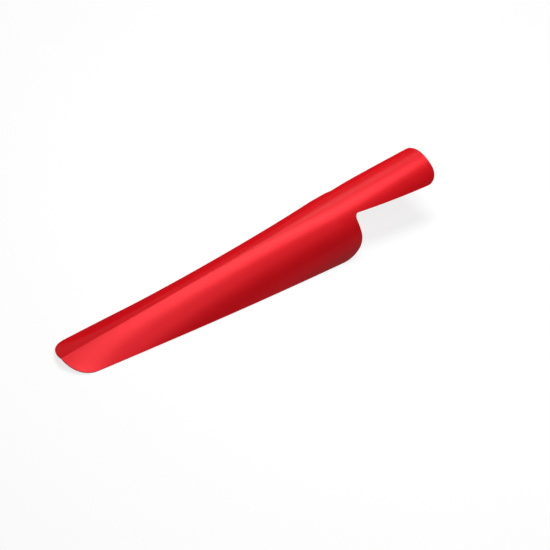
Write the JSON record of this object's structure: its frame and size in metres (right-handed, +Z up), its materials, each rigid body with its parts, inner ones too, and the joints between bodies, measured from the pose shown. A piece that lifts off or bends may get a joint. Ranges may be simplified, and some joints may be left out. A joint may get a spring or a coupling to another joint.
{
  "type": "bicycle saddle mudguard",
  "caption": "Clip-on rear bicycle mudguard: one creased plastic sheet sprung into an arch, tapering to a rounded tail, with a notched neck that sits between the saddle rails",
  "frame": {"origin": "midway between the two saddle rails where they cross the neck's notches, at the height of the rails' axes", "axes": "+X forward along the guard, from its tail towards the saddle's nose; +Y left; +Z up, away from the wheel"},
  "size_m": [0.343, 0.0604, 0.0473],
  "materials": {
    "red_sheet": "satin die-cut polypropylene sheet, dyed through"
  },
  "bodies": {
    "root": {"guard_sheet": "red_sheet"}
  },
  "joints": []
}
